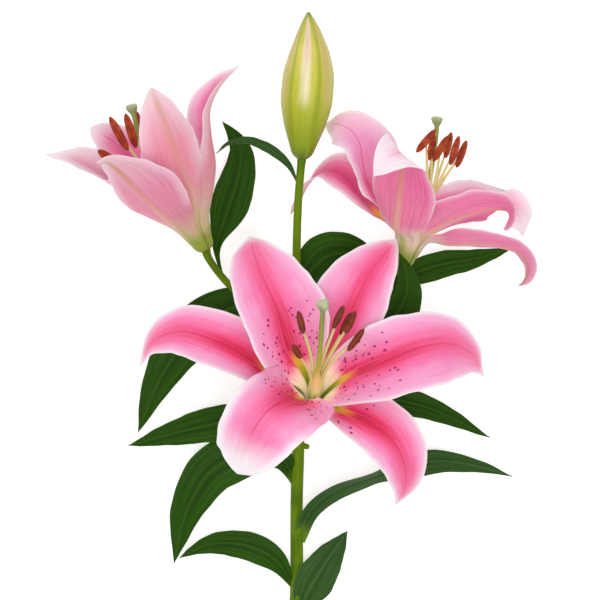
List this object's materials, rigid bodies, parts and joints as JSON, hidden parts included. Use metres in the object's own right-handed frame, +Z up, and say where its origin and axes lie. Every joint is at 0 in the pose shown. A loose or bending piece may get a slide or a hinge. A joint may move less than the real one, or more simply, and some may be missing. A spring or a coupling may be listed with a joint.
{
  "type": "cut lily stem",
  "caption": "Leafy cut lily stem lying on its back, with open pink blooms of curled tepals round long stamens, and a closed green bud at the top.",
  "frame": {"origin": "middle of the bounding box's underside, on the surface the stem lies on", "axes": "+Y along the stem from its cut end to the bud, +Z up, the way the front bloom faces, and +X to the right seen from above"},
  "size_m": [0.2878, 0.393, 0.1309],
  "materials": {
    "petal": "soft satin petal, pale pink to crimson",
    "leaf": "smooth waxy dark green",
    "stem": "smooth fresh green, satin",
    "bud": "smooth yellow-green with a pink blush, satin",
    "pistil": "smooth pale green, satin",
    "stamens": "powdery rust-brown anthers on pale filaments"
  },
  "bodies": {
    "root": {"stem": "stem", "bud": "bud", "leaf_bottom_left": "leaf", "leaf_bottom_right": "leaf", "leaf_bud_bract": "leaf", "leaf_inner_right": "leaf", "leaf_lower_left": "leaf", "leaf_lower_right": "leaf", "leaf_middle_left": "leaf", "leaf_middle_right": "leaf", "leaf_top_left": "leaf", "leaf_top_right": "leaf", "leaf_upper_left": "leaf", "leaf_upper_right": "leaf", "front_petal_lower_left": "petal", "front_petal_right": "petal", "front_petal_upper_left": "petal", "front_pistil": "pistil", "front_sepal_left": "petal", "front_sepal_lower_right": "petal", "front_sepal_upper_right": "petal", "front_stamens": "stamens", "left_petal_far_right": "petal", "left_petal_left": "petal", "left_petal_near_right": "petal", "left_pistil": "pistil", "left_sepal_far_left": "petal", "left_sepal_near_left": "petal", "left_sepal_right": "petal", "left_stamens": "stamens", "right_petal_far_right": "petal", "right_petal_left": "petal", "right_petal_near_right": "petal", "right_pistil": "pistil", "right_sepal_far_left": "petal", "right_sepal_near_left": "petal", "right_sepal_right": "petal", "right_stamens": "stamens"}
  },
  "joints": []
}
